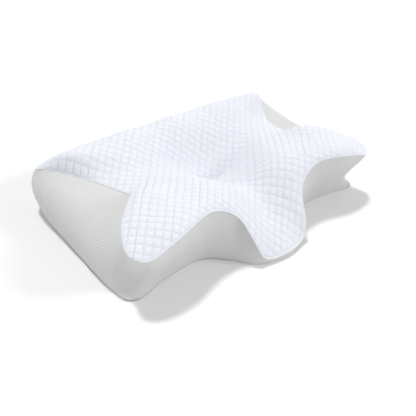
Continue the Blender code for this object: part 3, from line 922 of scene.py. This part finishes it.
def dart_relief(places, grid, down):
    """A short tapering tuck below each wing tip, where the band's cloth is eased round it."""
    relief = np.zeros(down.shape)
    for corner in (WING_CORNER, SPANS - WING_CORNER):
        from_corner = abs(places - corner)
        if from_corner.min() < 0.01:
            across = np.linalg.norm(grid[0] - grid[0, np.argmin(from_corner)], axis=1)
            width = DART_WIDTH * np.clip(1 - down / DART_LENGTH, 0.0, 1.0)
            relief += DART_RISE * smooth_step(width - across[None], 0.0, 2.4 * MM)
    return relief


def band_relief(grid, along, down):
    """How far the band's cloth stands out: tucked in at its edges, with gathers and soft waves."""
    flat = grid.reshape(-1, 3)
    from_edge = np.minimum(down, down[-1] - down)
    tuck = -TUCK_DEPTH * np.exp(-from_edge / TUCK_WIDTH)
    drift = 1.5 * waves(flat, 40 * MM, 17).reshape(along.shape)
    gathers = GATHER_DEPTH * np.sin(along / GATHER_PITCH * 2 * math.pi + drift)
    gathers *= np.exp(-from_edge / (7 * MM)) * smooth_step(from_edge, 0.0, 1.5 * MM)
    broad = BAND_SLACK * waves(flat * (1.0, 1.0, 0.5), 90 * MM, 23).reshape(along.shape)
    return tuck + gathers + broad * smooth_step(from_edge, 0.0, 22 * MM)


def grid_outward(grid):
    """The outward direction at each point of a grid on the band."""
    outward = np.cross(np.gradient(grid, axis=0), np.gradient(grid, axis=1))
    outward /= np.maximum(np.linalg.norm(outward, axis=2), TINY)[..., None]
    _, level = level_from_centre(grid)
    return outward * np.sign((outward * level).sum(axis=2).mean())


def make_band():
    """Five panels of the side band, meeting at the corners and in the middle of the front."""
    for name, start, end in zip(PANELS, PANEL_ENDS, PANEL_ENDS[1:]):
        places = even_places(BASE_RING, BAND_STEP, start + PANEL_MARGIN, end - PANEL_MARGIN)
        grid = band_rings(places, np.linspace(*BAND_SPAN, BAND_ROWS))
        down = np.array([lengths_along(column) for column in grid.transpose(1, 0, 2)]).T
        along = np.repeat(lengths_along(grid[BAND_ROWS // 2])[None], BAND_ROWS, axis=0)
        relief = band_relief(grid, along, down) + dart_relief(places, grid, down)
        outer = grid + grid_outward(grid) * relief[..., None]
        inner = grid + inward_steps(grid) * COVER
        points, faces = closed_sheet(outer, inner, False)
        cloth = np.stack([along, down], axis=-1)
        cloth = np.concatenate([cloth, cloth[::-1]]).reshape(-1, 2)
        panel = add_mesh(f"mesh_{name}", points, faces, "band", cloth, 60)
        if name == "rear_panel":
            cut_zip_slot(panel)
        show(panel, "band", name)


def make_underside():
    """The flat underside, lifted a little where it turns up into the binding."""
    edge = even_ring(BASE_RING, UNDERSIDE_STEP)[1]
    outer = np.array([edge * fraction for fraction in UNDERSIDE_RINGS])
    for row, lift in enumerate(UNDERSIDE_LIFTS):
        outer[row, :, 2] += lift
    inner = outer.copy()
    inner[..., 2] = COVER
    points, faces = capped(np.concatenate([outer[::-1], inner]))
    under = add_mesh("mesh_underside", points, faces, "base", points[:, :2])
    show(under, "base", "base_panel")


# ---- the liner and the foam ----

def make_inside():
    """The foam body, and the liner round it in an upper and a lower half."""
    places, seam = even_ring(SEAM_RING, INSIDE_STEP)
    level = seam[:, :2] - BOWL_CENTRE
    top = [TOP.raised(BOWL_CENTRE + level * fraction) for fraction in INSIDE_TOP]
    band = band_rings(places, np.linspace(0.0, 1.0, INSIDE_BAND_ROWS))
    rings = np.array([*top, *band, *(band[-1] * fraction for fraction in INSIDE_UNDER)])
    steps = inward_steps(rings)
    foam = add_mesh("foam_body", *capped(rings + steps * FOAM_DEPTH), "foam")
    show(foam, "foam", "foam_core")
    outer = rings + steps * LINER_DEPTH
    inner = rings + steps * (LINER_DEPTH + LINER)
    for name, rows in (("liner_top", slice(0, len(top))), ("liner_base", slice(len(top) + 1, None))):
        sleeve = closed_sheet(outer[rows], inner[rows], True)
        liner = add_mesh(f"jersey_{name}", *sleeve, "liner")
        show(liner, "liner", name)


# ---- the zip ----

def box_maker(low, high):
    maker = bmesh.new()
    bmesh.ops.create_cube(maker, size=1.0)
    for vert in maker.verts:
        for axis in range(3):
            vert.co[axis] = low[axis] if vert.co[axis] < 0 else high[axis]
    return maker


def plate_maker(outline, y_low, y_high):
    """A flat plate with an outline of (x, z) pairs, between two y."""
    count = len(outline)
    points = [(x, y, z) for y in (y_high, y_low) for x, z in outline]
    faces = [range(count), range(2 * count - 1, count - 1, -1)]
    for k in range(count):
        after = (k + 1) % count
        faces.append((k, count + k, count + after, after))
    return maker_of(points, faces)


def maker_of(points, faces):
    """A bmesh from numbered points and faces, its faces looking outward."""
    maker = bmesh.new()
    corners = [maker.verts.new(p) for p in points]
    for face in faces:
        maker.faces.new([corners[k] for k in face])
    bmesh.ops.recalc_face_normals(maker, faces=maker.faces)
    return maker


def rod_maker(path, radius, sides, **shape):
    return maker_of(*tube_along(path, radius, sides, loop=False, **shape))


def add_joined(name, makers, look):
    """One piece from several solids."""
    whole = bmesh.new()
    for maker in makers:
        held = bpy.data.meshes.new("held")
        maker.to_mesh(held)
        maker.free()
        whole.from_mesh(held)
        bpy.data.meshes.remove(held)
    return add_bmesh(name, whole, look)


def bevelled(maker, width):
    bmesh.ops.bevel(maker, geom=maker.edges[:], offset=width, segments=2, affect="EDGES")
    return maker


def arc(centre, radius, start, end, count):
    """Pairs of places on part of a circle; its turns are in half circles."""
    turns = np.linspace(start, end, count) * math.pi
    return [(centre[0] + radius * math.cos(a), centre[1] + radius * math.sin(a)) for a in turns]


def cut_away(piece, maker, edge=None):
    """Cuts a solid out of a piece, then rounds the piece's sharp edges by edge if that is given."""
    cutter = add_bmesh("cutter", maker, "metal")
    cut = piece.modifiers.new("cut", "BOOLEAN")
    cut.operation = "DIFFERENCE"
    cut.object = cutter
    cut.solver = "EXACT"
    if edge is not None:
        rounding = piece.modifiers.new("rounding", "BEVEL")
        rounding.width = edge
        rounding.segments = 2
        rounding.angle_limit = math.radians(50)
    bpy.context.view_layer.update()
    solved = piece.evaluated_get(bpy.context.evaluated_depsgraph_get())
    piece.data = bpy.data.meshes.new_from_object(solved)
    piece.modifiers.clear()
    bpy.data.objects.remove(cutter, do_unlink=True)


def cut_zip_slot(panel):
    """Cuts the slot for the zip out of the rear panel."""
    half = (SLOT_LENGTH / 2, SLOT_REACH, SLOT_HEIGHT / 2)
    middle = np.array([0.0, REAR_PLANE, ZIP_HEIGHT])
    cut_away(panel, box_maker(middle - half, middle + half))


def swept_bar(name, section, start, end, look, uneven):
    """A long bar along X with a closed section of (y, z) pairs."""
    rings = np.array([[(x, y, z) for y, z in section] for x in np.linspace(start, end, 160)])
    points, faces = capped(rings)
    points[:, 1] += uneven * waves(points[:, :1], 30 * MM, 31)
    return add_mesh(name, points, faces, look, sharp=50)


def rounded_section(low, high, radius, steps=3):
    """A rounded rectangle of (y, z) pairs."""
    left, right = low[0] + radius, high[0] - radius
    foot, head = low[1] + radius, high[1] - radius
    section = []
    for k, corner in enumerate(((right, head), (left, head), (left, foot), (right, foot))):
        section += arc(corner, radius, k / 2, (k + 1) / 2, steps + 1)
    return section


def make_tapes():
    """Two woven tapes, one each side of the coils."""
    for name in ("upper", "lower"):
        low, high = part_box(f"zipper_tape_{name}")
        section = rounded_section(low[1:], high[1:], TAPE_ROUNDING)
        tape = swept_bar(f"woven_tape_{name}", section, low[0], high[0], "tape", 0.05 * MM)
        show(tape, "tape", f"zipper_tape_{name}")


def make_coils():
    """Each coil is one nylon thread wound flat, its loops meeting those of the other coil."""
    for name, phase in (("upper", 0.0), ("lower", 0.1)):
        low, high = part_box(f"zipper_coil_{name}")
        middle = (low + high) / 2
        half = (high - low) / 2
        turns = int((half.x - COIL_WIRE) * 2 / COIL_PITCH)
        angle = np.linspace(0, turns * 2 * math.pi, turns * 10 + 1)
        flattened = np.sign(np.cos(angle)) * abs(np.cos(angle)) ** 0.6
        path = np.column_stack([
            low.x + COIL_WIRE + COIL_PITCH * (angle / (2 * math.pi) + phase),
            middle.y + flattened * (half.y - COIL_WIRE),
            middle.z + np.sin(angle) * (half.z - COIL_WIRE),
        ])
        tube = tube_along(path, COIL_WIRE, 5, loop=False)
        coil = add_mesh(f"wound_coil_{name}", *tube, "coil")
        show(coil, "coil", f"zipper_coil_{name}")


def make_stops():
    """Small crimped clamps, waisted where they bite the coils."""
    for end in ("top", "bottom"):
        low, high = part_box(f"zipper_{end}_stop")
        maker = box_maker(low, high)
        bmesh.ops.subdivide_edges(maker, edges=maker.edges[:], cuts=3, use_grid_fill=True)
        middle = (low + high) / 2
        for vert in maker.verts:
            share = 1 - abs(vert.co.z - middle.z) / (high.z - middle.z)
            vert.co.x = middle.x + (vert.co.x - middle.x) * (1 - STOP_WAIST * share)
            if vert.co.y > middle.y:
                vert.co.y -= STOP_PINCH * share
        stop = add_bmesh(f"crimped_{end}_stop", maker, "metal")
        rounding = stop.modifiers.new("rounding", "SUBSURF")
        rounding.levels = rounding.render_levels = 2
        show(stop, "metal", f"zipper_{end}_stop")


def make_slider():
    """A shield-shaped front plate, two flanges over the coils and an arched bridge."""
    low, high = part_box("zipper_slider")
    half = (high - low) / 2
    middle_x = low.x + half.x
    plate_high = high.y - BRIDGE_RISE
    plate_low = plate_high - SLIDER_PLATE
    shield = [*HALF_SHIELD, *((x, -z) for x, z in HALF_SHIELD[::-1])]
    outline = [(middle_x + x * half.x, ZIP_HEIGHT + z * half.z) for x, z in shield]
    parts = [bevelled(plate_maker(outline, plate_low, plate_high), METAL_EDGE)]
    for near, far in ((0.72, 0.98), (-0.98, -0.72)):
        flange = box_maker(
            (middle_x - half.x * 0.3, low.y, ZIP_HEIGHT + near * half.z),
            (middle_x + half.x * 0.9, plate_low + FLANGE_EDGE, ZIP_HEIGHT + far * half.z),
        )
        parts.append(bevelled(flange, FLANGE_EDGE))
    angle = np.linspace(0, math.pi, 17)
    path = np.column_stack([
        middle_x - BRIDGE_REACH * np.cos(angle),
        plate_high - 0.1 * MM + (BRIDGE_RISE - BRIDGE_RADIUS) * np.sin(angle) ** 0.6,
        np.full(len(angle), ZIP_HEIGHT),
    ])
    parts.append(rod_maker(path, BRIDGE_RADIUS, 10, squash=BRIDGE_FLATNESS))
    slider = add_joined("zip_slider_body", parts, "metal")
    show(slider, "metal", "zipper_slider", body="slider")


def make_pull():
    """A rounded tab with a slot in it, on two arms and a round bar."""
    low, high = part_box("zipper_pull_tab")
    axis_y = (low.y + high.y) / 2
    half = (high.z - low.z) / 2
    root = SLIDER_REST - PULL_ARM_LENGTH
    far_end = arc((low.x + half, ZIP_HEIGHT), half, 0.5, 1.5, 9)
    outline = [(root, ZIP_HEIGHT + half), *far_end, (root, ZIP_HEIGHT - half)]
    slot = arc((root - 4.0 * MM, ZIP_HEIGHT), half * 0.45, -0.5, 0.5, 7)
    slot += arc((low.x + half * 1.3, ZIP_HEIGHT), half * 0.45, 0.5, 1.5, 7)
    thick = PULL_HALF_THICKNESS
    tab = add_bmesh("tab", plate_maker(outline, axis_y - thick, axis_y + thick), "metal")
    cut_away(tab, plate_maker(slot, axis_y - 3 * thick, axis_y + 3 * thick), METAL_EDGE)
    plate = bmesh.new()
    plate.from_mesh(tab.data)
    bpy.data.objects.remove(tab, do_unlink=True)
    parts = [plate]
    for sign in (1, -1):
        z = ZIP_HEIGHT + sign * (half - 0.62 * MM)
        arm = [(x, axis_y, z) for x in (root - 0.8 * MM, SLIDER_REST - 4 * MM, SLIDER_REST)]
        parts.append(rod_maker(arm, PULL_ARM_RADIUS, 10))
    reach = half - 0.2 * MM
    bar = [(SLIDER_REST, axis_y, ZIP_HEIGHT + z) for z in np.linspace(-reach, reach, 9)]
    parts.append(rod_maker(bar, PULL_BAR_RADIUS, 12, over=(0.0, 1.0, 0.0)))
    pull = add_joined("zip_pull", parts, "metal")
    show(pull, "metal", "zipper_pull_tab", body="pull_tab")


def make_zip_seams():
    """The rolled cloth lips of the slot and the topstitching along them."""
    half = SLOT_LENGTH / 2
    seams = (
        (REAR_PLANE + 0.1 * MM, SLOT_HEIGHT / 2 + SEAM_OUTSIDE),
        (REAR_PLANE - 0.72 * MM, SLOT_HEIGHT / 2 - SEAM_INSIDE),
    )
    rows = []
    for sign in (1, -1):
        for y, away in seams:
            z = ZIP_HEIGHT + sign * away
            rows.append(((-half, y, z), (half, y, z)))
    sew("zip_stitching", rows, "grey_thread", "band")
    reach = half + 1 * MM
    for name, sign in (("upper", 1), ("lower", -1)):
        z = ZIP_HEIGHT + sign * SLOT_HEIGHT / 2
        low, high = (REAR_PLANE - 1.2 * MM, z - 0.9 * MM), (REAR_PLANE + 0.7 * MM, z + 0.9 * MM)
        section = rounded_section(low, high, LIP_RADIUS, 4)
        lip = swept_bar(f"slot_lip_{name}", section, -reach, reach, "grey_edge", 0.08 * MM)
        show(lip, "band")


# ---- the label ----

def make_label():
    """A blank ribbon sewn on by its two ends, a little bowed between them."""
    low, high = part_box("care_label")
    x, z = np.meshgrid(np.linspace(low.x, high.x, 25), np.linspace(high.z, low.z, 21))
    across = (x - low.x) / (high.x - low.x)
    bow = LABEL_BOW * np.sin(across * math.pi) ** 0.7
    bow += LABEL_RIPPLE * np.sin(z / (9 * MM) * 2 * math.pi)
    outer = np.stack([x, high.y + bow, z], axis=-1)
    ribbon = closed_sheet(outer, outer - (0.0, LABEL_THICKNESS, 0.0), False)
    show(add_mesh("blank_label", *ribbon, "label"), "label", "care_label")
    edges = (low.x + LABEL_SEAM, high.x - LABEL_SEAM)
    y = high.y + 0.25 * MM
    rows = [((x, y, low.z), (x, y, high.z)) for x in edges]
    sew("label_stitching", rows, "white_thread", "label")


# ---- camera, light and floor ----

def make_camera():
    """A camera at a front corner of the pillow, turned a little about its line of sight."""
    camera = bpy.data.cameras.new("camera")
    camera.sensor_width = SENSOR_WIDTH
    camera.lens = FOCAL_PIXELS * SENSOR_WIDTH / PICTURE_SIZE
    camera.shift_x, camera.shift_y = CAMERA_SHIFT
    holder = add_object("camera", camera)
    azimuth, elevation, roll = (math.radians(turn) for turn in CAMERA_TURN)
    turn = Matrix.Rotation(azimuth, 4, "Z") @ Matrix.Rotation(math.pi / 2 - elevation, 4, "X")
    turn @= Matrix.Rotation(roll, 4, "Z")
    holder.matrix_world = turn @ Matrix.Translation((0.0, 0.0, CAMERA_DISTANCE))
    bpy.context.scene.camera = holder


def add_light(name, kind, place, energy):
    """A light that looks at the object from this place."""
    light = bpy.data.lights.new(name, kind)
    light.energy = energy
    holder = add_object(name, light)
    holder.location = place
    holder.rotation_euler = (-Vector(place)).to_track_quat("-Z", "Y").to_euler()
    return light


def add_lights():
    """Even light from all round, two lamps so far off that they act as suns, and a soft fill."""
    world = bpy.data.worlds.new("studio")
    bpy.context.scene.world = world
    world.use_nodes = True
    background = world.node_tree.nodes["Background"]
    background.inputs["Color"].default_value = (0.975, 0.985, 1.0, 1.0)
    background.inputs["Strength"].default_value = 0.62
    add_light("overhead", "SUN", (0.0, 0.62, 1.5), 1.75).angle = math.radians(7.0)
    add_light("side", "SUN", (1.1, -0.95, 0.85), 0.95).angle = math.radians(12.0)
    fill = add_light("fill", "AREA", (-1.5, -0.9, 0.5), 0.8)
    fill.shape = "DISK"
    fill.size = 1.0
    bpy.context.scene.view_settings.view_transform = "Standard"


def make_floor():
    """A white floor that curves up into a low wall all round."""
    turns = np.arange(STUDIO_SIDES) * 2 * math.pi / STUDIO_SIDES
    rings = [(share * FLOOR_RADIUS, 0.0) for share in np.linspace(0.02, 1.0, 12)]
    for turn in np.linspace(0.0, math.pi / 2, 9)[1:]:
        rings.append((FLOOR_RADIUS + COVE * math.sin(turn), COVE * (1 - math.cos(turn))))
    points = [
        (reach * math.cos(a), reach * math.sin(a), CAD_BOUNDS[0].z + height)
        for reach, height in rings
        for a in turns
    ]
    faces = grid_faces(len(rings), STUDIO_SIDES, True) + [range(STUDIO_SIDES)]
    floor = add_mesh("floor", points, faces, "floor")


make_camera()
make_quilt()
make_edges()
make_band()
make_underside()
make_inside()
make_tapes()
make_coils()
make_stops()
make_slider()
make_pull()
make_zip_seams()
make_label()
add_lights()
make_floor()
